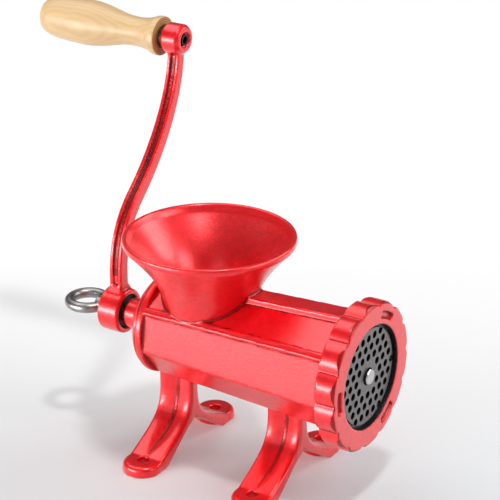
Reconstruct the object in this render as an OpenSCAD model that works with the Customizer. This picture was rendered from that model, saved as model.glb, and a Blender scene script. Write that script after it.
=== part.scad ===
// Hand crank meat grinder with a faceted barrel, a round hopper and four bolted feet.
// Millimetres, +Z up, +X from the crank towards the cutting plate.
// The origin is on the table top, in the middle of the four foot holes.

/* [Barrel] */
// Height of the barrel's axis above the table
axis_h = 81; // [78:1:90]
// X of the rear end of the faceted barrel
barrel_rear_x = -46.5; // [-50:0.5:-44]
// Distance from the axis to the facets at the rear end
facet_rear_r = 27.5; // [27:0.5:29]
// Distance from the axis to the facets at the front end
facet_front_r = 32.7; // [32:0.1:34]
// Angle of the upper facets' normals above the horizontal
upper_facet_angle = 62; // [58:1:64]
// Angle of the side facets' normals above the horizontal
side_facet_angle = 8; // [0:1:12]
// Angle of the lower facets' normals below the horizontal
lower_facet_angle = 40; // [36:1:45]
// Half the width of the raised band along the ridge
ridge_half_w = 7.5; // [5:0.5:9]
// Diameter of the twin beads beside each upper corner
bead_d = 1.8; // [1.4:0.2:2.4]
// Radius of the auger chamber at the rear
chamber_rear_r = 23.2; // [21:0.2:23.6]
// Radius of the auger chamber at the front
chamber_front_r = 29; // [27:0.5:29.5]
// Radius of the rear flange
flange_r = 31; // [30:0.5:33]
// Radius of the neck round the drive shaft
neck_r = 9.5; // [9.2:0.1:10.2]

/* [Hopper] */
// X of the hopper's axis
hopper_x = -15; // [-16:0.5:-12]
// Outer radius of the rim
rim_r = 52; // [48:0.5:54]
// Height of the rim above the table
rim_h = 145.5; // [140:0.5:150]
// Thickness of the hopper's wall
hopper_wall = 3.2; // [2.8:0.1:4]
// Radius of the throat where the meat drops onto the auger
throat_r = 22; // [20:0.5:22.5]

/* [Legs and feet] */
// Distance between the front and the rear foot holes
foot_span_x = 78; // [74:1:84]
// Distance between the left and the right foot holes
foot_span_y = 80; // [76:1:90]
// Diameter of a foot hole
foot_hole_d = 7.3; // [6:0.1:8]
// Width of a leg
leg_w = 24.2; // [22:0.2:26]
// Diameter of a foot's round toe
toe_d = 24.8; // [24.6:0.2:27]
// Thickness of a foot
foot_t = 6.6; // [6:0.2:8]
// Depth of the hollow in a leg's face
hollow_depth = 3; // [1:0.2:3.4]

/* [Plate, knife and ring nut] */
// Diameter of the cutting plate
plate_d = 70; // [69:0.5:70.5]
// Thickness of the cutting plate at its rim
plate_t = 5.8; // [5:0.1:6]
// Radius of the plate's raised face
plate_face_r = 29.2; // [28.6:0.2:29.4]
// Height of the raised face above the rim
plate_raise = 1.9; // [0.5:0.1:2.4]
// Diameter of the holes in the cutting plate
plate_hole_d = 4.5; // [3:0.5:4.8]
// Distance between the centres of neighbouring plate holes
plate_pitch = 6.9; // [6.5:0.1:6.9]
// X of the ring nut's front face
ring_front_x = 95.5; // [95:0.5:97]
// Length of the ring nut
ring_l = 13.5; // [13:0.5:14.5]
// Radius of the ring nut's opening
ring_open_r = 31.5; // [30:0.5:32]
// Radius of the ring nut over its lobes
ring_lobe_r = 45; // [44:0.5:46]
// Number of lobes on the ring nut
ring_lobes = 14; // [10:1:16]
// Number of blades on the knife
knife_blades = 4; // [3:1:6]

/* [Crank] */
// Distance from the drive shaft to the grip
crank_r = 170; // [150:5:190]
// Angle between the crank at rest and the vertical
crank_angle = 23.5; // [0:0.5:40]
// X of the crank hub's front face
hub_front_x = -75; // [-76:0.5:-75]
// Thickness of the crank hub
hub_t = 15; // [14:0.5:17]
// Radius of the crank hub
hub_r = 14; // [13:0.5:16]
// Thickness of the crank arm
arm_t = 8.4; // [7:0.2:10]
// Radius of the boss that carries the grip
boss_r = 9.6; // [9:0.2:11]
// Length of the wooden grip
grip_l = 89; // [80:1:100]
// Largest radius of the wooden grip
grip_belly_r = 14.4; // [13:0.2:16]

/* [Hidden] */
$fn = 96;
// Thickness of the end slices that a hull joins
slice_t = 0.6;

// Colours
enamel = [0.86, 0.05, 0.07];
bright_steel = [0.78, 0.76, 0.74];
dark_steel = [0.36, 0.35, 0.35];
cast_grey = [0.62, 0.62, 0.61];
bronze = [0.72, 0.52, 0.28];
fibre = [0.55, 0.42, 0.30];
beech = [0.86, 0.70, 0.48];

// Barrel
mouth_rear_x = ring_front_x - ring_l + 0.5;
mouth_front_x = ring_front_x - 4.6;
mouth_r = 38.6;
ring_lip = 4.3;
plate_rear_x = ring_front_x - ring_lip - plate_t;
plate_seat_r = plate_d / 2 + 0.3;
chamber_rear_x = -43;
ridge_h_ratio = 1 / cos(90 - upper_facet_angle);
bead_gap = 1.5;
neck_rear_x = hub_front_x + 2;
dome_x = -61;

// Drive shaft and what it carries
journal_r = 6.2;
bush_r = 7.7;
shank_w = 8.7;
shaft_front_x = -8;
screw_r = 3;
screw_hole_r = screw_r + 0.3;
screw_l = 18;
auger_rear_x = -40.5;
auger_front_x = 78.4;
auger_core_r = 11.5;
auger_turns = 4;
auger_gap = 0.8;
knife_rear_x = auger_front_x;
knife_front_x = plate_rear_x - 0.2;
blade_rear_x = knife_rear_x + 1.2;
knife_r = chamber_front_r - 0.8;
knife_square = 8.6;
stud_r = 4.8;
stud_front_x = ring_front_x - 0.5;

// Crank and grip
arm_mid_x = hub_front_x - hub_t / 2 + 0.5;
boss_front_x = hub_front_x - 0.5;
boss_l = 13.5;
boss_rear_x = boss_front_x - boss_l;
spindle_r = 3.5;
grip_front_x = boss_rear_x - 3;
grip_rear_x = grip_front_x - grip_l;
grip_bore_r = spindle_r + 0.2;
hub_rear_x = hub_front_x - hub_t;

// Point t of the way along a cubic curve with end points a and d and handles b and c
function curve_point(a, b, c, d, t) =
    a * pow(1 - t, 3) + b * 3 * t * pow(1 - t, 2) + c * 3 * t * t * (1 - t) + d * pow(t, 3);

// Points along such a curve
function curve(a, b, c, d, steps) = [for (i = [0 : steps]) curve_point(a, b, c, d, i / steps)];

// Direction of a line of points at point i
function line_direction(line, i) =
    let (d = line[min(i + 1, len(line) - 1)] - line[max(i - 1, 0)]) d / norm(d);

// Turns local X, Y, Z into Y, Z, X, and moves the origin to a point on the barrel's axis
module on_axis(x = 0) {
    translate([x, 0, axis_h]) rotate([90, 0, 90]) children();
}

// The same about the grip's axis, at the end of the crank
module on_grip_axis(x = 0) {
    on_axis(x) translate([crank_r * sin(crank_angle), crank_r * cos(crank_angle), 0]) children();
}

// Round bar between two places on the local axis
module bar(r, z0, z1) {
    translate([0, 0, z0]) cylinder(r = r, h = z1 - z0);
}

// Square bar between two places on the local axis
module square_bar(w, z0, z1) {
    translate([-w / 2, -w / 2, z0]) cube([w, w, z1 - z0]);
}

// ---------------------------------------------------------------- barrel

// Corner between two neighbouring facets that touch a circle of radius r
function facet_corner(r, a, b) = r / cos((a - b) / 2) * [cos((a + b) / 2), sin((a + b) / 2)];

// Seven-sided section round a circle of radius r, with a corner on top and a flat below
function barrel_section(r) =
    let (right = [
        facet_corner(r, 180 - upper_facet_angle, upper_facet_angle),
        facet_corner(r, upper_facet_angle, side_facet_angle),
        facet_corner(r, side_facet_angle, -lower_facet_angle),
        facet_corner(r, -lower_facet_angle, -90)
    ])
    concat(right, [for (i = [3 : -1 : 1]) [-right[i].x, right[i].y]]);

// Flat-topped band along the ridge
module ridge_section(r) {
    translate([-ridge_half_w, 0]) square([2 * ridge_half_w, r * ridge_h_ratio]);
}

// Faceted barrel from its rear end into the mouth, with the band along its ridge
module tapered_outline() {
    hull() {
        on_axis(barrel_rear_x) linear_extrude(slice_t) polygon(barrel_section(facet_rear_r));
        on_axis(mouth_rear_x) linear_extrude(slice_t) polygon(barrel_section(facet_front_r));
    }
    hull() {
        on_axis(barrel_rear_x) linear_extrude(slice_t) ridge_section(facet_rear_r);
        on_axis(mouth_rear_x) linear_extrude(slice_t) ridge_section(facet_front_r);
    }
}

// Round end of a bead, moved from the corner along the facet whose normal has this angle
module bead_end(x, r, side, facet_angle, along) {
    corner = facet_corner(r, upper_facet_angle, side_facet_angle)
        + along * [-sin(facet_angle), cos(facet_angle)];
    on_axis(x) translate([side * corner.x, corner.y]) cylinder(d = bead_d, h = slice_t, $fn = 16);
}

// Twin beads beside the corner between the upper and the side facets
module corner_beads() {
    for (side = [-1, 1]) {
        hull() {
            bead_end(barrel_rear_x, facet_rear_r, side, upper_facet_angle, bead_gap);
            bead_end(mouth_rear_x, facet_front_r, side, upper_facet_angle, bead_gap);
        }
        hull() {
            bead_end(barrel_rear_x, facet_rear_r, side, side_facet_angle, -bead_gap);
            bead_end(mouth_rear_x, facet_front_r, side, side_facet_angle, -bead_gap);
        }
    }
}

// Rear end: flange, dome, boss and neck, turned about the axis
module barrel_rear_end() {
    dome = curve([flange_r - 1, -3.4], [flange_r - 2, -7], [25, -9], [18.5, -11], 8);
    on_axis(barrel_rear_x) rotate_extrude()
        polygon(concat(
            [[0, 1], [flange_r, 1], [flange_r, -2.6]],
            dome,
            [[18, dome_x - barrel_rear_x + 1], [17, dome_x - barrel_rear_x],
             [neck_r, dome_x - barrel_rear_x - 0.5], [neck_r, neck_rear_x - barrel_rear_x + 0.5],
             [neck_r - 0.5, neck_rear_x - barrel_rear_x], [0, neck_rear_x - barrel_rear_x]]
        ));
}

// Tapered auger chamber, seat of the plate and bore of the bush
module barrel_cavity() {
    on_axis() {
        rotate_extrude()
            polygon([
                [0, chamber_rear_x], [chamber_rear_r, chamber_rear_x],
                [chamber_front_r, auger_front_x - 4], [chamber_front_r, plate_rear_x],
                [plate_seat_r, plate_rear_x], [plate_seat_r, mouth_front_x + 1], [0, mouth_front_x + 1]
            ]);
        bar(bush_r, neck_rear_x - 1, chamber_rear_x + 1);
    }
    translate([hopper_x, 0, axis_h]) cylinder(r = throat_r, h = 60);
}

module barrel() {
    color(enamel) difference() {
        union() {
            tapered_outline();
            corner_beads();
            barrel_rear_end();
            on_axis() bar(mouth_r, mouth_rear_x, mouth_front_x);
        }
        barrel_cavity();
        key_bar();
    }
}

// ---------------------------------------------------------------- hopper

// Outer profile of the hopper: a steep cone, a flare and an upright lip
hopper_cone_top = [29.5, 109.5];
hopper_outer = concat(
    [[26.2, 97.5]],
    curve(hopper_cone_top, hopper_cone_top + [4, 12.5], [43, 132], [49.5, rim_h - 6.5], 12),
    [[rim_r, rim_h - 4], [rim_r, rim_h - 1], [rim_r - 1, rim_h]]
);
hopper_inner = concat(
    [[rim_r - 2.2, rim_h], [rim_r - 3.2, rim_h - 1.4]],
    curve([rim_r - 5, rim_h - 4.5], [40, 133], [29, 122], [throat_r + 2, 108], 12),
    [[throat_r, 102], [throat_r, 97.5]]
);

module hopper() {
    color(enamel) difference() {
        translate([hopper_x, 0, 0]) rotate_extrude() polygon(concat(hopper_outer, hopper_inner));
        tapered_outline();
        corner_beads();
    }
}

// ---------------------------------------------------------------- legs

// A leg is a loft. Its rings lie between an outer line with a hollow along it and an inner line,
// matched point by point, as distance from the middle of the pair and height.
column_half_t = 4.5;
leg_top_z = axis_h - facet_rear_r + 4;
bend_z = 37;
sole_z = -1;
bend_steps = 12;
last_ring = [foot_span_y / 2 + 1, foot_t];
outer_line = concat(
    [[column_half_t, leg_top_z]],
    curve([column_half_t, bend_z], [column_half_t + 1, 20], [16, 17], [37, foot_t], bend_steps),
    [last_ring]
);
// Part of the bend over which the inner line still runs down the middle of the pair
split = 0.28;
inner_line = concat(
    [[0, leg_top_z]],
    [for (i = [0 : bend_steps])
        let (t = i / bend_steps)
        t < split
            ? [0, bend_z - (bend_z - 20) * t / split]
            : curve_point([0, 20], [9, 18], [18, 8], [33, sole_z], (t - split) / (1 - split))],
    [[last_ring.x, sole_z]]
);
edge_r = 2.4;

// One side of a ring, from the middle of the hollow to the inner line: across and inwards
function half_ring(w, depth, thick) = concat(
    [for (u = [0, 0.12, 0.3, 0.55, 0.8, 1]) [w * u, depth * pow(1 - u, 1.3)]],
    [for (a = [0 : 30 : 90]) [leg_w / 2 - edge_r + edge_r * sin(a), edge_r - edge_r * cos(a)]],
    [[leg_w / 2, thick]]
);

// Ring i of the loft, all the way round. The hollow fades and narrows towards the foot.
function leg_ring(i) =
    let (
        t = max(0, min(1, (i - 1) / bend_steps)),
        inwards = inner_line[i] - outer_line[i],
        half = half_ring(
            1 + (leg_w / 2 - 4.6) * (1 - pow(t, 4)),
            0.2 + (hollow_depth - 0.2) * (1 - pow(t, 3)),
            norm(inwards)
        ),
        n = len(half),
        round = concat(half, [for (k = [n - 1 : -1 : 1]) [-half[k].x, half[k].y]])
    )
    [for (p = round)
        let (q = outer_line[i] + p.y * inwards / norm(inwards)) [p.x, q.x, q.y]];

module leg_loft() {
    rings = [for (i = [0 : len(outer_line) - 1]) leg_ring(i)];
    n = len(rings[0]);
    last = len(rings) - 1;
    polyhedron(
        points = [for (ring = rings) each ring],
        faces = concat(
            [[for (k = [0 : n - 1]) k]],
            [for (i = [0 : last - 1], k = [0 : n - 1])
                [i * n + k, (i + 1) * n + k, (i + 1) * n + (k + 1) % n]],
            [for (i = [0 : last - 1], k = [0 : n - 1])
                [i * n + k, (i + 1) * n + (k + 1) % n, i * n + (k + 1) % n]],
            [[for (k = [n - 1 : -1 : 0]) last * n + k]]
        )
    );
}

// Round toe with a soft upper edge
module toe() {
    soft = 3;
    translate([0, foot_span_y / 2, 0]) rotate_extrude() polygon(concat(
        [[0, sole_z], [toe_d / 2, sole_z]],
        [for (a = [0 : 15 : 90]) [toe_d / 2 - soft + soft * cos(a), foot_t - soft + soft * sin(a)]],
        [[0, foot_t]]
    ));
}

// Leg to the +Y side of its pair, with its column's middle at the origin
module leg_form() {
    difference() {
        union() {
            leg_loft();
            toe();
        }
        translate([-leg_w, 0, 2 * sole_z]) cube([2 * leg_w, foot_span_y, -2 * sole_z]);
        translate([0, foot_span_y / 2, -1]) cylinder(d = foot_hole_d, h = foot_t + 2);
    }
}

module leg(front, side) {
    color(enamel) difference() {
        translate([front * foot_span_x / 2, 0, 0]) mirror([0, side < 0 ? 1 : 0, 0]) leg_form();
        tapered_outline();
        on_axis() bar(flange_r, barrel_rear_x - 6, barrel_rear_x + 1);
    }
}

// ---------------------------------------------------------------- parts fixed in the barrel

module neck_bush() {
    color(bronze) on_axis() difference() {
        bar(bush_r, neck_rear_x, chamber_rear_x);
        bar(journal_r + 0.06, neck_rear_x - 1, chamber_rear_x + 1);
    }
}

// Round key that stops the plate turning, half in the barrel and half in the plate's notch
key_r = 1.6;
module key_bar() {
    on_axis() translate([0, -plate_seat_r, 0]) bar(key_r, plate_rear_x + 0.6, mouth_front_x - 0.6);
}

module plate_key() {
    color(bright_steel) key_bar();
}

// ---------------------------------------------------------------- plate and ring nut

// Centres of the plate's holes, on a triangular grid that leaves seven places free for the hub
hole_field_r = 28;
hole_hub_r = 7.5;
plate_holes = [
    for (row = [-5 : 5], col = [-5 : 5])
        let (p = plate_pitch * [col + (row % 2 == 0 ? 0 : 0.5), row * sin(60)])
        if (norm(p) > hole_hub_r && norm(p) < hole_field_r) p
];
hub_hole_r = 5.3;

module cutting_plate() {
    color(dark_steel) on_axis(plate_rear_x) difference() {
        union() {
            bar(plate_d / 2, 0.1, plate_t);
            bar(plate_face_r, 1, plate_t + plate_raise);
        }
        for (p = plate_holes) translate(p) bar(plate_hole_d / 2, -1, plate_t + plate_raise + 1);
        bar(hub_hole_r, -1, plate_t + plate_raise + 1);
        translate([0, -plate_seat_r]) bar(key_r + 0.5, -1, plate_t + 1);
    }
}

lobe_r = 13;
lobe_phase = 0.57;
pocket_angles = [62, 182, 302];
pocket_span = 22;
pocket_depth = 2;

module ring_nut() {
    color(enamel) on_axis(ring_front_x - ring_l) difference() {
        intersection() {
            for (i = [0 : ring_lobes - 1])
                rotate(360 / ring_lobes * (i + lobe_phase))
                    translate([ring_lobe_r - lobe_r, 0]) bar(lobe_r, -1, ring_l + 1);
            // Softened front and rear edges
            rotate_extrude() polygon([
                [0, 0], [ring_lobe_r - 1.6, 0], [ring_lobe_r - 0.4, 1.2], [ring_lobe_r + 1, 5],
                [ring_lobe_r - 0.3, ring_l - 1.5], [ring_lobe_r - 1.6, ring_l], [0, ring_l]
            ]);
        }
        bar(mouth_r + 0.4, -1, ring_l - ring_lip);
        bar(ring_open_r, -2, ring_l + 1);
        for (a = pocket_angles) rotate(a - pocket_span / 2) translate([0, 0, ring_l - pocket_depth])
            rotate_extrude(angle = pocket_span)
                translate([ring_open_r + 3.2, 0]) square([4.4, pocket_depth + 1]);
    }
}

// ---------------------------------------------------------------- drive

// Section of the flight, rooted inside the core
flight_half_angle = 24;
module flight_section(tip_r) {
    polygon(concat(
        [for (a = [-flight_half_angle : 12 : flight_half_angle]) tip_r * [cos(a), sin(a)]],
        [[5, 8], [-3, 3], [-3, -3], [5, -8]]
    ));
}

module auger() {
    flight_l = auger_front_x - 4 - auger_rear_x;
    tip_front = chamber_front_r - auger_gap;
    tip_rear = chamber_rear_r + (chamber_front_r - chamber_rear_r) * 0.02 - auger_gap;
    color(cast_grey) difference() {
        on_axis() {
            translate([0, 0, auger_rear_x + flight_l]) rotate([180, 0, 0])
                linear_extrude(
                    flight_l, twist = 360 * auger_turns, slices = 64, scale = tip_rear / tip_front, $fn = 18
                ) flight_section(tip_front);
            bar(auger_core_r, auger_rear_x, auger_front_x);
        }
        on_axis() {
            bar(journal_r, auger_rear_x - 1, shaft_front_x);
            bar(stud_r, 50, auger_front_x + 1);
        }
    }
}

module drive_shaft() {
    color(bright_steel) on_axis() difference() {
        union() {
            bar(journal_r, hub_front_x - 2.6, shaft_front_x);
            square_bar(shank_w, hub_rear_x + 0.6, hub_front_x);
        }
        bar(screw_hole_r, hub_rear_x, hub_rear_x + screw_l + 3);
    }
}

module thrust_washer() {
    color(fibre) on_axis() difference() {
        bar(19, chamber_rear_x + 0.3, auger_rear_x);
        bar(journal_r, chamber_rear_x - 1, auger_rear_x + 1);
    }
}

module centre_stud() {
    color(bright_steel) on_axis() {
        bar(stud_r, 50, auger_front_x);
        square_bar(knife_square, auger_front_x, knife_front_x);
        rotate_extrude() polygon([
            [0, knife_front_x], [stud_r, knife_front_x], [stud_r, stud_front_x - 0.6],
            [stud_r - 0.6, stud_front_x], [0, stud_front_x]
        ]);
    }
}

// Blade with a straight cutting edge and a hollow back
module knife_blade() {
    polygon(concat(
        [[6, 3.5], [knife_r - 1.5, 3.2], [knife_r, -1], [knife_r - 1, -5]],
        curve([knife_r - 2, -5.4], [20, -3], [14, -3.5], [8, -8], 6)
    ));
}

module knife() {
    color(bright_steel) on_axis() difference() {
        union() {
            bar(10, knife_rear_x, knife_front_x);
            for (i = [0 : knife_blades - 1])
                rotate(360 / knife_blades * i) translate([0, 0, blade_rear_x])
                    linear_extrude(knife_front_x - blade_rear_x) knife_blade();
        }
        square_bar(knife_square, knife_rear_x - 1, knife_front_x + 1);
    }
}

// ---------------------------------------------------------------- crank

// Middle line of the arm with the grip straight up: across and along the crank
arm_line = concat(
    curve([-2, 6], [-14, 28], [-21, 48], [-8, 74], 10),
    [for (p = curve([-8, 74], [2, 95], [14, 138], [0, crank_r - 3], 10)) if (p.y > 74.5) p]
);

// Side of the arm, half a width away from its middle line
function arm_side(side, cut) = [
    for (i = [0 : len(arm_line) - 1])
        let (
            d = line_direction(arm_line, i),
            half_w = 4.2 - 0.9 * i / (len(arm_line) - 1) - cut
        )
        arm_line[i] + side * half_w * [d.y, -d.x]
];

module arm_outline(cut) {
    left = arm_side(-1, cut);
    polygon(concat(arm_side(1, cut), [for (i = [len(left) - 1 : -1 : 0]) left[i]]));
}

module crank_arm() {
    groove = 1.5;
    rim = 2.4;
    color(enamel) difference() {
        union() {
            on_axis() {
                bar(hub_r - 0.8, hub_rear_x, hub_front_x);
                bar(hub_r, hub_rear_x + 0.8, hub_front_x - 0.8);
                // Arm of I section: a web between two rims
                rotate(-crank_angle) {
                    translate([0, 0, arm_mid_x - arm_t / 2 + 0.5])
                        linear_extrude(arm_t - 1) arm_outline(groove);
                    for (z = [arm_mid_x - arm_t / 2, arm_mid_x + arm_t / 2 - rim])
                        translate([0, 0, z]) linear_extrude(rim) arm_outline(0);
                }
            }
            on_grip_axis() rotate_extrude() polygon([
                [0, boss_rear_x], [boss_r - 1.4, boss_rear_x], [boss_r, boss_rear_x + 1.8],
                [boss_r, boss_front_x - 2.4], [boss_r - 2, boss_front_x], [0, boss_front_x]
            ]);
        }
        on_axis() {
            bar(10.8, hub_front_x - 3, hub_front_x + 1);
            square_bar(shank_w, hub_rear_x - 1, hub_front_x);
        }
        on_grip_axis() {
            bar(spindle_r, boss_rear_x - 1, boss_front_x + 1);
            bar(5, boss_front_x - 1.6, boss_front_x + 1);
        }
    }
}

// Spindle of the grip: a shouldered screw with a round head in the grip's end
spindle_head_r = 6;
head_seat = 5;
module grip_spindle() {
    color(dark_steel) on_grip_axis() difference() {
        union() {
            bar(spindle_r, grip_rear_x + head_seat, boss_front_x - 0.3);
            bar(spindle_head_r, grip_rear_x + 1, grip_rear_x + head_seat - 1.2);
            bar(spindle_r, grip_rear_x + head_seat - 1.3, grip_rear_x + head_seat + 1);
        }
        bar(2.3, boss_front_x - 6, boss_front_x + 1);
    }
}

module grip_washer() {
    color(dark_steel) on_grip_axis() difference() {
        bar(7.5, boss_rear_x - 2.7, boss_rear_x);
        bar(spindle_r, boss_rear_x - 4, boss_rear_x + 1);
    }
}

module grip_end_washer() {
    color(dark_steel) on_grip_axis() difference() {
        bar(6.4, grip_rear_x + head_seat - 1.2, grip_rear_x + head_seat - 0.2);
        bar(spindle_r, grip_rear_x, grip_rear_x + head_seat + 1);
    }
}

// Turned profile of the grip, as radius and distance from its crank end
grip_profile = concat(
    [[11.7, 0], [12.3, 0.6], [12.3, 3]],
    curve([12.2, 4], [9.4, 10], [8.6, 17], [9.3, 24], 6),
    curve([9.7, 28], [11.2, 37], [grip_belly_r + 0.6, 47], [grip_belly_r - 0.1, 60], 8),
    curve([grip_belly_r - 0.3, 64], [13.8, 76], [13, 86], [9, grip_l], 8)
);

module wooden_grip() {
    color(beech) on_grip_axis() difference() {
        rotate_extrude() polygon(concat(
            [[0, grip_front_x]],
            [for (p = grip_profile) [p.x, grip_front_x - p.y]],
            [[0, grip_rear_x]]
        ));
        bar(grip_bore_r, grip_rear_x - 1, grip_front_x + 1);
        bar(spindle_head_r + 0.8, grip_rear_x - 1, grip_rear_x + head_seat);
    }
}

// ---------------------------------------------------------------- thumb screw

washer_t = 1.6;
washer_rear_x = hub_rear_x - 0.1 - washer_t;
eye_x = washer_rear_x - 14.5;
eye_r = 11.5;
eye_wire_r = 3.3;
eye_taper = 48;
strand_l = 4.5;

module thumb_washer() {
    color(bright_steel) on_axis() difference() {
        bar(8.5, washer_rear_x, washer_rear_x + washer_t);
        bar(screw_hole_r, washer_rear_x - 1, hub_rear_x + 1);
    }
}

// Flat eye of bent rod, with two strands that run together towards the neck
module eye() {
    translate([eye_x, 0, axis_h]) {
        rotate(90 - eye_taper) rotate_extrude(angle = 180 + 2 * eye_taper)
            translate([eye_r, 0]) circle(eye_wire_r, $fn = 32);
        for (side = [-1, 1])
            rotate(side * (90 - eye_taper)) translate([eye_r, 0, 0]) rotate([side * 90, 0, 0])
                cylinder(r = eye_wire_r, h = strand_l, $fn = 32);
    }
}

module thumb_screw() {
    color(dark_steel) {
        on_axis() {
            bar(screw_r, washer_rear_x - 1, washer_rear_x + screw_l);
            bar(6.5, washer_rear_x - 2.6, washer_rear_x - 0.1);
            bar(4.6, washer_rear_x - 7, washer_rear_x - 2);
        }
        eye();
    }
}

barrel();
hopper();
leg(1, 1);  // front_left_leg
leg(1, -1);  // front_right_leg
leg(-1, 1);  // rear_left_leg
leg(-1, -1);  // rear_right_leg
neck_bush();
plate_key();
cutting_plate();
ring_nut();
auger();
drive_shaft();
thrust_washer();
centre_stud();
knife();
crank_arm();
grip_spindle();
grip_washer();
grip_end_washer();
thumb_washer();
thumb_screw();
wooden_grip();
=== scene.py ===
# Hand crank meat grinder: a red enamelled casting, steel cutting parts and a turned wooden grip.
import math
import bmesh
import bpy
import numpy as np
from mathutils import Matrix, Vector


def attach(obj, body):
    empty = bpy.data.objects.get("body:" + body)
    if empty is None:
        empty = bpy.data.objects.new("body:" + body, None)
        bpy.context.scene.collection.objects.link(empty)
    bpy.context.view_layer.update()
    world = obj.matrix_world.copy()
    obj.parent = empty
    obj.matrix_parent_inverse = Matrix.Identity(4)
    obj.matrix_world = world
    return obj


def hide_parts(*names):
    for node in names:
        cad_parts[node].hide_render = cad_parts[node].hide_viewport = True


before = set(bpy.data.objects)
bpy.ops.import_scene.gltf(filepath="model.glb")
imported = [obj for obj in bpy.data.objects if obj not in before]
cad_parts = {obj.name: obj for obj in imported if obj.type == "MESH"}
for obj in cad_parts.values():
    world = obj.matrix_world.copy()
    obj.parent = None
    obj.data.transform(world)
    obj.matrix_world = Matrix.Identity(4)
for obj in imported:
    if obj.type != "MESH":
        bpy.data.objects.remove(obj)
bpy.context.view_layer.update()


# ---------------------------------------------------------------- studio

# A pale table that runs back into white, lit by big soft boxes at the front, the side and above.
# The camera looks down on the plate and on the near side of the barrel.

CAMERA_PLACE = Vector((0.58323, -0.90602, 0.60414))
CAMERA_TARGET = Vector((0.01314, 0.0, 0.14208))
CAMERA_ROLL = math.radians(-0.21)
LENS_MM = 144.0

camera_data = bpy.data.cameras.new("camera")
camera_data.lens = LENS_MM
camera_data.sensor_width = 36.0
camera_data.clip_end = 50.0
camera = bpy.data.objects.new("camera", camera_data)
bpy.context.scene.collection.objects.link(camera)
camera_turn = (CAMERA_TARGET - CAMERA_PLACE).to_track_quat("-Z", "Y").to_matrix()
camera_turn = camera_turn @ Matrix.Rotation(CAMERA_ROLL, 3, "Z")
camera.matrix_world = Matrix.Translation(CAMERA_PLACE) @ camera_turn.to_4x4()
bpy.context.scene.camera = camera
bpy.context.scene.view_settings.view_transform = "Standard"


class Wire:
    """The output of a shader node. Arithmetic on it adds Math nodes; make() adds any other node."""

    def __init__(self, tree, socket=None):
        self.tree = tree
        self.socket = socket

    def make(self, kind, settings=None, sockets=None, output=0):
        """A node of this kind: its settings are set first, then its sockets' values or links."""
        node = self.tree.nodes.new("ShaderNode" + kind)
        for name, value in (settings or {}).items():
            if name == "stops":
                ramp = node.color_ramp
                while len(ramp.elements) < len(value):
                    ramp.elements.new(0.5)
                for element, (place, colour) in zip(ramp.elements, value):
                    element.position = place
                    element.color = (*colour, 1.0)
            else:
                setattr(node, name, value)
        for name, value in (sockets or {}).items():
            self.feed(node.inputs[name], value)
        return Wire(self.tree, node.outputs[output])

    def feed(self, target, value):
        """Links another wire to a socket, or sets the socket's value."""
        if isinstance(value, Wire):
            self.tree.links.new(value.socket, target)
        elif isinstance(value, tuple) and target.type == "RGBA":
            target.default_value = (*value, 1.0)
        else:
            target.default_value = value

    def maths(self, operation, *values):
        return self.make("Math", {"operation": operation}, dict(enumerate(values)))

    def __add__(self, other):
        return self.maths("ADD", self, other)

    def __mul__(self, other):
        return self.maths("MULTIPLY", self, other)

    __radd__ = __add__
    __rmul__ = __mul__

    def between(self, low, high):
        """0 below low, 1 above high and smooth in between."""
        settings = {"interpolation_type": "SMOOTHSTEP"}
        sockets = {"Value": self, "From Min": low, "From Max": high}
        return self.make("MapRange", settings, sockets)

    def noise(self, scale, detail, roughness=0.5):
        """Cloudy noise over these coordinates."""
        sockets = {"Vector": self, "Scale": scale, "Detail": detail, "Roughness": roughness}
        return self.make("TexNoise", None, sockets)

    def bump(self, strength, distance):
        """A normal that rises and falls with this wire."""
        sockets = {"Height": self, "Strength": strength, "Distance": distance}
        return self.make("Bump", None, sockets)

    def mixed(self, first, second):
        """The first colour where this wire is 0, and the second where it is 1."""
        sockets = {0: self, 6: first, 7: second}
        return self.make("Mix", {"data_type": "RGBA"}, sockets, output=2)


def new_material(name, **uniform):
    """A material, a wire of its Object coordinates and its shader with the uniform sockets set."""
    made = bpy.data.materials.new(name)
    made.use_nodes = True
    tree = made.node_tree
    shader = tree.nodes["Principled BSDF"]
    for socket, value in uniform.items():
        target = shader.inputs[socket.replace("_", " ")]
        Wire(tree).feed(target, value)
    place = Wire(tree).make("TexCoord", output=3)
    return made, place, shader


TABLE_SIZE = 12.0
TABLE_WHITE = (0.97, 0.97, 0.975)
TABLE_GREY = (0.69, 0.72, 0.735)
TABLE_SHADOW_LIFT_GLOW = (0.78, 0.80, 0.81)
TOWARDS_CAMERA = (0.533, -0.846, 0.0)
GREY_NEAR = 0.06
WHITE_FAR = -0.30
GLOW_NEAR = -0.20
GLOW_FAR = -0.34
GLOW_LEAST = 0.2

table_mesh = bpy.data.meshes.new("table")
bm = bmesh.new()
bmesh.ops.create_grid(bm, x_segments=1, y_segments=1, size=TABLE_SIZE / 2)
bm.to_mesh(table_mesh)
bm.free()
table = bpy.data.objects.new("table", table_mesh)
bpy.context.scene.collection.objects.link(table)

table_paint, place, shader = new_material("table_paint", Roughness=0.55)
depth = place.make(
    "VectorMath", {"operation": "DOT_PRODUCT"}, {0: place, 1: TOWARDS_CAMERA}, output=1
)
shade = place.make(
    "MapRange", None, {"Value": depth, "From Min": WHITE_FAR, "From Max": GREY_NEAR}
)
place.feed(shader.inputs["Base Color"], shade.mixed(TABLE_WHITE, TABLE_GREY))
seen = place.make("LightPath", output="Is Camera Ray")
seen = seen + place.make("LightPath", output="Is Glossy Ray")
seen = seen + place.make("LightPath", output="Is Transmission Ray")
far = depth.between(GLOW_NEAR, GLOW_FAR)
glow_colour = shade.mixed((1.0, 1.0, 1.0), TABLE_SHADOW_LIFT_GLOW)
white = place.make("Emission", None, {"Color": glow_colour, "Strength": 1.0})
painted = Wire(place.tree, shader.outputs[0])
# Painted light: the near table also glows faintly for camera, glossy and transmission rays, which
# lifts its shadows and the red bounce.
glow = seen * (GLOW_LEAST + far * (1.0 - GLOW_LEAST))
surface = place.make("MixShader", None, {0: glow, 1: painted, 2: white})
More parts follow.
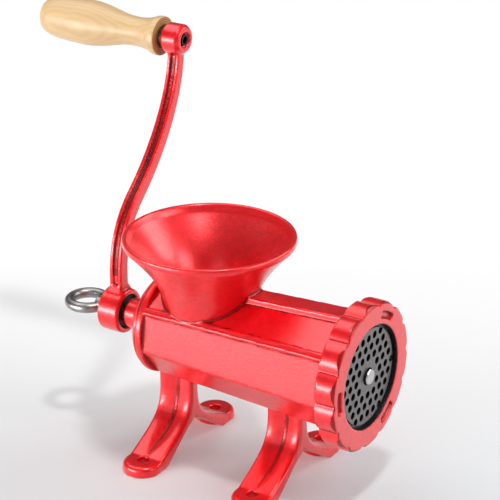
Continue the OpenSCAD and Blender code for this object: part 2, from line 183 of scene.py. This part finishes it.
table_end = table_paint.node_tree.nodes["Material Output"]
place.feed(table_end.inputs["Surface"], surface)
table_mesh.materials.append(table_paint)

SOFT_BOXES = (
    # name, place, aim, width, height, watts
    ("front_box", (-0.80, -1.40, 0.17), (0.0, 0.0, 0.08), 1.3, 0.32, 25.0),
    ("camera_box", (0.35, -1.7, 0.75), (0.0, 0.0, 0.08), 0.9, 0.9, 2.5),
    ("side_box", (1.45, 0.2, 0.75), (0.0, 0.0, 0.08), 0.8, 0.8, 10.0),
    ("back_box", (0.9, 1.1, 1.0), (0.0, 0.0, 0.08), 0.8, 0.8, 9.0),
    ("over_box", (-0.70, 0.15, 1.45), (-0.1, 0.0, 0.06), 1.2, 1.2, 10.0),
    ("key_lamp", (0.39, -0.19, 1.55), (0.0, 0.0, 0.06), 0.16, 0.16, 9.0),
)
for name, stand, aim, width, height, watts in SOFT_BOXES:
    light_data = bpy.data.lights.new(name, "AREA")
    light_data.shape = "RECTANGLE"
    light_data.size = width
    light_data.size_y = height
    light_data.energy = watts
    light = bpy.data.objects.new(name, light_data)
    light.location = stand
    light.rotation_euler = (Vector(aim) - Vector(stand)).to_track_quat("-Z", "Y").to_euler()
    bpy.context.scene.collection.objects.link(light)

FILL = 0.10
world = bpy.data.worlds.new("world")
bpy.context.scene.world = world
world.use_nodes = True
sky = world.node_tree.nodes["Background"]
sky.inputs["Color"].default_value = (1.0, 1.0, 1.0, 1.0)
sky.inputs["Strength"].default_value = FILL


# ---------------------------------------------------------------- body casting

# Barrel, hopper and four footed legs are one sand casting, dipped in red enamel. The enamel rounds
# every edge, fills the inner corners and keeps a little of the sand's texture under its gloss.
# Inner corners and a stripe down each leg's hollow are painted darker, as painted shade.

ENAMEL = (0.90, 0.001, 0.008)
ENAMEL_THIN = (0.90, 0.005, 0.012)
ENAMEL_DEEP = (0.56, 0.0005, 0.004)
# Painted shade: dark enamel tones for inner corners, creases and grooves.
CORNER_SHADE = (0.36, 0.0003, 0.001)
CORNER_SHADE_DEEP = (0.14, 0.0002, 0.0006)


def enamel_material(name, tones, sand, gloss):
    """Enamel of three tones: even, thin and deep. Sand and gloss say how much of each shows."""
    made, place, shader = new_material(
        name, Metallic=0.45, Coat_Weight=gloss, Coat_Roughness=0.27, Coat_IOR=1.5
    )
    cloud = place.noise(38.0, 4.0, 0.6)
    grain = place.noise(900.0, 3.0, 0.55)
    peel = place.noise(260.0, 2.0, 0.5)
    colour = cloud.between(0.3, 0.72).mixed(tones[0], tones[1])
    colour = (peel.between(0.62, 0.34) * 0.3).mixed(colour, tones[2])
    place.feed(shader.inputs["Base Color"], colour)
    place.feed(shader.inputs["Roughness"], 0.33 + cloud * 0.06)
    height = peel * 0.35 + grain * 0.65
    place.feed(shader.inputs["Normal"], height.bump(sand, 0.0006))
    return made


red_enamel = enamel_material("red_enamel", (ENAMEL, ENAMEL_THIN, ENAMEL_DEEP), 0.36, 1.0)
painted_corner_shade = enamel_material("painted_corner_shade", (CORNER_SHADE, CORNER_SHADE, CORNER_SHADE_DEEP), 0.35, 0.3)
# Painted shade for the floor of the arm's groove.
painted_groove_shade = enamel_material("painted_groove_shade", (CORNER_SHADE_DEEP, CORNER_SHADE, CORNER_SHADE_DEEP), 1.0, 0.15)


def cad_copy(*nodes):
    """One bmesh with a merged copy of these CAD nodes."""
    bm = bmesh.new()
    for node in nodes:
        part = bmesh.new()
        part.from_mesh(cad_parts[node].data)
        bmesh.ops.remove_doubles(part, verts=part.verts, dist=1e-6)
        mesh = bpy.data.meshes.new(node + "_copy")
        part.to_mesh(mesh)
        part.free()
        bm.from_mesh(mesh)
        bpy.data.meshes.remove(mesh)
    return bm


def finished(name, bm, material, body, nodes):
    """Makes a piece of a bmesh, gives it its finish and hangs it on its body."""
    mesh = bpy.data.meshes.new(name)
    bm.to_mesh(mesh)
    bm.free()
    mesh.materials.append(material)
    piece = bpy.data.objects.new(name, mesh)
    bpy.context.scene.collection.objects.link(piece)
    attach(piece, body)
    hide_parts(*nodes)
    return piece


def applied(piece):
    """Turns the piece's modifiers into its mesh."""
    bpy.context.view_layer.update()
    evaluated = piece.evaluated_get(bpy.context.evaluated_depsgraph_get())
    mesh = bpy.data.meshes.new_from_object(evaluated)
    old = piece.data
    piece.modifiers.clear()
    piece.data = mesh
    bpy.data.meshes.remove(old)
    mesh.name = piece.name
    return piece


def repaint(piece, material, chosen):
    """Gives another material to the faces that pass the test chosen."""
    piece.data.materials.append(material)
    for face in piece.data.polygons:
        if chosen(face):
            face.material_index = len(piece.data.materials) - 1


def cast_round(piece, voxel, passes, keep=1.0):
    """Melts a piece's solids into one skin with rounded edges and filled inner corners."""
    melt = piece.modifiers.new("melt", "REMESH")
    melt.mode = "VOXEL"
    melt.voxel_size = voxel
    melt.use_smooth_shade = True
    soften = piece.modifiers.new("soften", "SMOOTH")
    soften.factor = 0.5
    soften.iterations = passes
    if keep < 1.0:
        thin = piece.modifiers.new("thin", "DECIMATE")
        thin.ratio = keep
    applied(piece)
    for face in piece.data.polygons:
        face.use_smooth = True
    return piece


def paint_corner_shade(piece, material, limit):
    """Gives the darker enamel to the faces in inner corners, as painted shade where shade falls."""
    mesh = piece.data
    count = len(mesh.vertices)
    places = np.empty(count * 3)
    mesh.vertices.foreach_get("co", places)
    places = places.reshape(-1, 3)
    normals = np.empty(count * 3)
    mesh.vertices.foreach_get("normal", normals)
    normals = normals.reshape(-1, 3)
    ends = np.empty(len(mesh.edges) * 2, dtype=np.int32)
    mesh.edges.foreach_get("vertices", ends)
    one, other = ends[0::2], ends[1::2]
    degree = np.maximum(1, np.bincount(ends, minlength=count))

    def gathered(at_one, at_other):
        """The mean over each vertex's edges of what they bring to their two ends."""
        return (np.bincount(one, at_one, count) + np.bincount(other, at_other, count)) / degree

    def around(values):
        """The mean of the values of each vertex's neighbours."""
        return gathered(values[other], values[one])

    middle = np.stack([around(places[:, axis]) for axis in range(3)], axis=1)
    length = np.linalg.norm(places[one] - places[other], axis=1)
    length = gathered(length, length)
    hollow = ((middle - places) * normals).sum(axis=1) / np.maximum(length, 1e-6)
    hollow = 0.5 * hollow + 0.5 * around(hollow)
    mesh.materials.append(material)
    index = len(mesh.materials) - 1
    for face in mesh.polygons:
        if sum(hollow[vertex] for vertex in face.vertices) > limit * len(face.vertices):
            face.material_index = index


AXIS_H = 0.081


def off_axis(place):
    """How far a place is from the barrel's axis."""
    return math.hypot(place.y, place.z - AXIS_H)


def scored(piece, x, width, depth, reach):
    """Presses a round groove into the casting at this place along the barrel."""
    for vertex in piece.data.vertices:
        off = abs(vertex.co.x - x) / width
        out = off_axis(vertex.co)
        if off < 1.0 and reach[0] < out < reach[1]:
            inward = 1.0 - depth * (1.0 - off) / out
            vertex.co.y *= inward
            vertex.co.z = AXIS_H + (vertex.co.z - AXIS_H) * inward


LEGS = ("front_left_leg", "front_right_leg", "rear_left_leg", "rear_right_leg")
BODY_NODES = ("barrel", "hopper", *LEGS)
FLANGE_X = -0.0502
FLANGE_REACH = (0.020, 0.0325)
GROOVE_WIDTH = 0.0011
GROOVE_DEPTH = 0.0010
body_casting = finished(
    "body_casting", cad_copy(*BODY_NODES), red_enamel, "housing", BODY_NODES
)
cast_round(body_casting, voxel=0.0007, passes=4, keep=0.45)
scored(body_casting, FLANGE_X, GROOVE_WIDTH, GROOVE_DEPTH, FLANGE_REACH)
# Painted shade: the inner corners of the casting get the darker enamel.
paint_corner_shade(body_casting, painted_corner_shade, limit=0.034)

LEG_X = 0.039
HOLLOW_FOOT = 0.012
HOLLOW_TOP = 0.046
HOLLOW_SHIFT = 0.0012
HOLLOW_HALF_WIDTH = 0.0003
HOLLOW_SPREAD = 0.026
HOLLOW_STEEP = 0.25


def in_leg_hollow_shade(face):
    """Painted shade down the steep side of the hollow on the outer face of each leg, widest at the
    barrel.
    """
    spot = face.center
    across = spot.x - math.copysign(LEG_X, spot.x)
    outward = math.copysign(1.0, spot.y) * face.normal.y + 0.5 * face.normal.z
    half_width = HOLLOW_HALF_WIDTH + HOLLOW_SPREAD * spot.z
    along = HOLLOW_FOOT < spot.z < HOLLOW_TOP
    return along and outward > HOLLOW_STEEP and abs(across - HOLLOW_SHIFT) < half_width


# Painted shade: a dark stripe down the hollow of each leg.
repaint(body_casting, painted_corner_shade, in_leg_hollow_shade)


# ---------------------------------------------------------------- cutting plate and stud

# The plate is a disc of dark tool steel, ground flat, with drilled holes. The stud that carries the
# knife shows its bright turned end in the middle.

STEEL_PLATE = (0.185, 0.168, 0.168)
STEEL_SCRATCH = (0.32, 0.31, 0.305)
STEEL_BRIGHT = (0.52, 0.48, 0.48)
STEEL_SHINE = (0.74, 0.71, 0.70)
STEEL_BLACK_AND_SHADE = (0.035, 0.032, 0.032)
STEEL_WORN = (0.085, 0.08, 0.08)


def machined(name, nodes, material, body, edge=0.0002):
    """A turned or ground piece: a merged copy of its CAD node with fine broken edges."""
    bm = cad_copy(*nodes)
    bmesh.ops.dissolve_limit(bm, angle_limit=math.radians(1.0), verts=bm.verts, edges=bm.edges)
    piece = finished(name, bm, material, body, nodes)
    for face in piece.data.polygons:
        face.use_smooth = True
    broken = piece.modifiers.new("broken_edges", "BEVEL")
    broken.width = edge
    broken.segments = 2
    broken.limit_method = "ANGLE"
    broken.angle_limit = math.radians(40.0)
    flat = piece.modifiers.new("flat_faces", "WEIGHTED_NORMAL")
    flat.weight = 100
    return applied(piece)


def ground_steel(name, colour, scratch, roughness, stretch):
    """Ground or turned steel: fine lines drawn out along the axis that stretch makes long."""
    made, place, shader = new_material(name, Metallic=1.0)
    drawn = place.make("Mapping", None, {"Vector": place, "Scale": stretch})
    lines = drawn.noise(1.0, 5.0, 0.7)
    cloud = place.noise(90.0, 3.0)
    place.feed(shader.inputs["Base Color"], lines.between(0.42, 0.68).mixed(colour, scratch))
    place.feed(shader.inputs["Roughness"], roughness + cloud * 0.12 + lines * 0.08)
    place.feed(shader.inputs["Normal"], lines.bump(0.25, 0.00008))
    return made


GROUND = (400.0, 2600.0, 260.0)
TURNED = (260.0, 2000.0, 2000.0)
TURNED_COARSE = (300.0, 1500.0, 1500.0)
plate_steel = ground_steel("ground_plate_steel", STEEL_PLATE, STEEL_SCRATCH, 0.34, GROUND)
bright_steel = ground_steel("turned_bright_steel", STEEL_BRIGHT, STEEL_SHINE, 0.22, TURNED)
# Blackened steel, which also serves as painted shade in the plate's holes, on the stud's side and
# in the hub's recess.
dark_steel_and_shade = ground_steel("blackened_steel_and_shade", STEEL_BLACK_AND_SHADE, STEEL_WORN, 0.38, TURNED_COARSE)

plate = machined("drilled_plate", ("cutting_plate",), plate_steel, "plate", edge=0.0002)
# Painted shade: the walls of the holes and the plate's rim get the dark steel.
repaint(plate, dark_steel_and_shade, lambda face: abs(face.normal.x) < 0.5)
stud = machined("turned_stud", ("centre_stud",), bright_steel, "drive", edge=0.0004)
# Painted shade: the stud's side gets the dark steel.
repaint(stud, dark_steel_and_shade, lambda face: abs(face.normal.x) < 0.4)
machined("ground_knife", ("knife",), bright_steel, "drive", edge=0.0003)
machined("turned_shaft", ("drive_shaft",), bright_steel, "drive", edge=0.0003)
machined("key_pin", ("plate_key",), bright_steel, "housing", edge=0.0003)


# ---------------------------------------------------------------- ring nut

# The ring nut is a casting of the same enamel, with lobes to grip and slots for a spanner. The lip
# that bears on the plate is turned and left bare.

RING_FRONT = 0.0955
RIM_DEPTH = 0.0022
RIM_LEAST_R = 0.037
RIM_SLOPE = (0.2, 0.9)
LIP_R = 0.0317


def on_rim_shade(face):
    """The rounded edge of the lobes where they turn into the ring's front face, painted dark as a
    line of painted shade.
    """
    sloping = RIM_SLOPE[0] < face.normal.x < RIM_SLOPE[1]
    near_front = face.center.x > RING_FRONT - RIM_DEPTH
    return near_front and sloping and off_axis(face.center) > RIM_LEAST_R


ring_nut = finished(
    "ring_nut_casting", cad_copy("ring_nut"), red_enamel, "ring", ("ring_nut",)
)
cast_round(ring_nut, voxel=0.00055, passes=3)
# Painted shade: the inner corners of the ring nut get the darker enamel.
paint_corner_shade(ring_nut, painted_corner_shade, limit=0.036)
# Painted shade: a dark line where the lobes turn into the ring's front face.
repaint(ring_nut, painted_corner_shade, on_rim_shade)
repaint(ring_nut, dark_steel_and_shade, lambda face: off_axis(face.center) < LIP_R)


# ---------------------------------------------------------------- crank

# Hub, S-shaped arm and grip boss are one enamelled casting of I section, and the arm spreads out
# where it meets the hub. The recess in the hub is turned, and it and the arm's groove are painted
# dark as painted shade.

HUB_FRONT = -0.075
HUB_RECESS_R = 0.0107
HUB_RECESS_START = 0.0004
ARM_MIDDLE = -0.082
ARM_HOLLOW_HALF = 0.0019
ARM_FOOT_R = 0.0235
GRIP_AXIS = Vector((0.0, 0.0678, 0.2369))
BOSS_R = 0.0115
ARM_ROOT = (
    # half width, rear, front, height
    (0.0076, -0.0876, -0.0764, 0.0910),
    (0.0041, -0.0861, -0.0779, 0.0985),
)

bm = cad_copy("crank_arm")
root = bmesh.new()
for half_width, rear, front, height in ARM_ROOT:
    for y in (-half_width, half_width):
        for x in (rear, front):
            root.verts.new((x, y, height))
bmesh.ops.convex_hull(root, input=root.verts)
bmesh.ops.recalc_face_normals(root, faces=root.faces)
root_mesh = bpy.data.meshes.new("arm_root")
root.to_mesh(root_mesh)
root.free()
bm.from_mesh(root_mesh)
bpy.data.meshes.remove(root_mesh)
crank = finished("crank_casting", bm, red_enamel, "drive", ("crank_arm",))
cast_round(crank, voxel=0.00055, passes=5)
# Painted shade: the inner corners of the crank get the darker enamel.
paint_corner_shade(crank, painted_corner_shade, limit=0.05)


def in_arm_groove_shade(face):
    """The floor of the groove along the arm's edges, between the hub and the grip's boss, painted
    dark as painted shade.
    """
    spot = face.center
    off_grip = math.hypot(spot.y - GRIP_AXIS.y, spot.z - GRIP_AXIS.z)
    in_groove = abs(spot.x - ARM_MIDDLE) < ARM_HOLLOW_HALF
    return in_groove and off_axis(spot) > ARM_FOOT_R and off_grip > BOSS_R


def in_hub_recess_shade(face):
    """The turned recess in the hub, where the thumb screw's washer sits, painted dark steel as
    painted shade.
    """
    below_rim = face.center.x < HUB_FRONT - HUB_RECESS_START
    return below_rim and off_axis(face.center) < HUB_RECESS_R


# Painted shade: the floor of the arm's groove is painted dark.
repaint(crank, painted_groove_shade, in_arm_groove_shade)
# Painted shade: the recess in the hub gets the dark steel.
repaint(crank, dark_steel_and_shade, in_hub_recess_shade)


# ---------------------------------------------------------------- feed screw and its washer

# The auger is a bare grey casting, tumbled smooth. It turns against a pale moulded washer, and its
# shaft runs in a bronze bush.

CASTING_GREY = (0.40, 0.40, 0.40)
CASTING_RUBBED = (0.56, 0.56, 0.55)
WASHER_DULL = (0.66, 0.63, 0.56)
WASHER_PALE = (0.76, 0.74, 0.68)
BRONZE = (0.50, 0.31, 0.12)
BRONZE_SHINE = (0.62, 0.42, 0.19)


def bare_casting():
    made, place, shader = new_material("bare_casting", Metallic=1.0)
    sand = place.noise(700.0, 5.0, 0.65)
    cloud = place.noise(60.0, 3.0)
    colour = cloud.between(0.3, 0.7).mixed(CASTING_GREY, CASTING_RUBBED)
    place.feed(shader.inputs["Base Color"], colour)
    place.feed(shader.inputs["Roughness"], 0.38 + sand * 0.2)
    place.feed(shader.inputs["Normal"], sand.bump(0.5, 0.0002))
    return made


auger = finished(
    "auger_casting", cad_copy("auger"), bare_casting(), "drive", ("auger",)
)
cast_round(auger, voxel=0.0009, passes=5, keep=0.6)


def moulded_washer():
    made, place, shader = new_material("moulded_washer", Roughness=0.5)
    cloud = place.noise(120.0, 4.0)
    colour = cloud.between(0.3, 0.7).mixed(WASHER_DULL, WASHER_PALE)
    place.feed(shader.inputs["Base Color"], colour)
    place.feed(shader.inputs["Normal"], cloud.bump(0.2, 0.0002))
    return made


bronze = ground_steel("bearing_bronze", BRONZE, BRONZE_SHINE, 0.26, TURNED)
machined("thrust_ring", ("thrust_washer",), moulded_washer(), "drive", edge=0.0004)
machined("bearing_bush", ("neck_bush",), bronze, "housing", edge=0.0003)


# ---------------------------------------------------------------- grip

# The grip is turned from one piece of pale hardwood and lacquered. It runs on a blackened spindle
# between two washers, and the spindle's drilled end is riveted over in the boss.

WOOD_PALE = (0.65, 0.45, 0.23)
WOOD_DARK = (0.56, 0.36, 0.17)
WOOD_PORE = (0.38, 0.22, 0.09)
END_GRAIN = (0.46, 0.25, 0.09)
END_DARK = (0.28, 0.13, 0.04)
STEEL_BROWN = (0.075, 0.042, 0.028)
STEEL_RUBBED = (0.15, 0.09, 0.06)


def turned_wood():
    made, place, shader = new_material("turned_hardwood", Coat_Weight=0.35, Coat_Roughness=0.4)
    centred = place.make("Mapping", None, {"Vector": place, "Location": tuple(-GRIP_AXIS)})
    drawn = place.make("Mapping", None, {"Vector": centred, "Scale": (7.0, 110.0, 75.0)})
    bend = drawn.noise(1.0, 3.0, 0.5)
    growth = place.make(
        "TexWave", {"wave_type": "BANDS", "bands_direction": "Y"},
        {"Vector": centred, "Scale": 150.0, "Distortion": 3.0, "Detail": 2.0, "Detail Scale": 0.9},
        output=1
    )
    fibre = place.make("Mapping", None, {"Vector": centred, "Scale": (45.0, 1500.0, 1500.0)})
    pores = fibre.noise(1.0, 4.0, 0.7)
    colour = (growth * 0.25 + bend * 0.55).between(0.1, 0.8).mixed(WOOD_PALE, WOOD_DARK)
    colour = (pores.between(0.60, 0.80) * 0.55).mixed(colour, WOOD_PORE)
    place.feed(shader.inputs["Base Color"], colour)
    place.feed(shader.inputs["Roughness"], 0.36 + pores * 0.2)
    place.feed(shader.inputs["Normal"], pores.bump(0.3, 0.0001))
    return made


def end_grain():
    made, place, shader = new_material("end_grain", Roughness=0.6)
    centred = place.make("Mapping", None, {"Vector": place, "Location": tuple(-GRIP_AXIS)})
    rings = place.make(
        "TexWave", {"wave_type": "RINGS", "rings_direction": "X"},
        {"Vector": centred, "Scale": 260.0, "Distortion": 1.5, "Detail": 3.0}, output=1
    )
    pores = place.noise(1800.0, 3.0)
    colour = (rings * 0.5 + pores * 0.5).between(0.25, 0.8).mixed(END_GRAIN, END_DARK)
    place.feed(shader.inputs["Base Color"], colour)
    place.feed(shader.inputs["Normal"], pores.bump(0.3, 0.0001))
    return made


GRIP_FRONT = -0.092
GRIP_END_DEPTH = 0.0003
grip = finished(
    "turned_grip", cad_copy("wooden_grip"), turned_wood(), "grip", ("wooden_grip",)
)
cast_round(grip, voxel=0.0005, passes=4)
repaint(grip, end_grain(), lambda face: face.center.x > GRIP_FRONT - GRIP_END_DEPTH)
machined("riveted_spindle", ("grip_spindle",), dark_steel_and_shade, "drive", edge=0.0003)
browned = ground_steel("browned_steel", STEEL_BROWN, STEEL_RUBBED, 0.4, TURNED_COARSE)
machined("boss_washer", ("grip_washer",), browned, "drive", edge=0.0003)
machined("far_washer", ("grip_end_washer",), dark_steel_and_shade, "drive")


# ---------------------------------------------------------------- thumb screw

# The thumb screw is forged from one rod, bent round into a flat eye on a straight neck, and plated
# dull grey. Its bright washer bears on the recess in the hub.

FORGED_GREY = (0.24, 0.225, 0.22)
FORGED_RUBBED = (0.46, 0.44, 0.43)


def plated_forging():
    made, place, shader = new_material("plated_forging", Metallic=1.0)
    dents = place.noise(320.0, 4.0, 0.6)
    cloud = place.noise(110.0, 3.0)
    colour = cloud.between(0.3, 0.7).mixed(FORGED_GREY, FORGED_RUBBED)
    place.feed(shader.inputs["Base Color"], colour)
    place.feed(shader.inputs["Roughness"], 0.26 + dents * 0.26)
    place.feed(shader.inputs["Normal"], dents.bump(0.5, 0.0003))
    return made


thumb_screw = finished(
    "forged_thumb_screw", cad_copy("thumb_screw"), plated_forging(),
    "clamp_screw", ("thumb_screw",)
)
cast_round(thumb_screw, voxel=0.0004, passes=5)
machined("screw_washer", ("thumb_washer",), bright_steel, "clamp_washer", edge=0.0003)
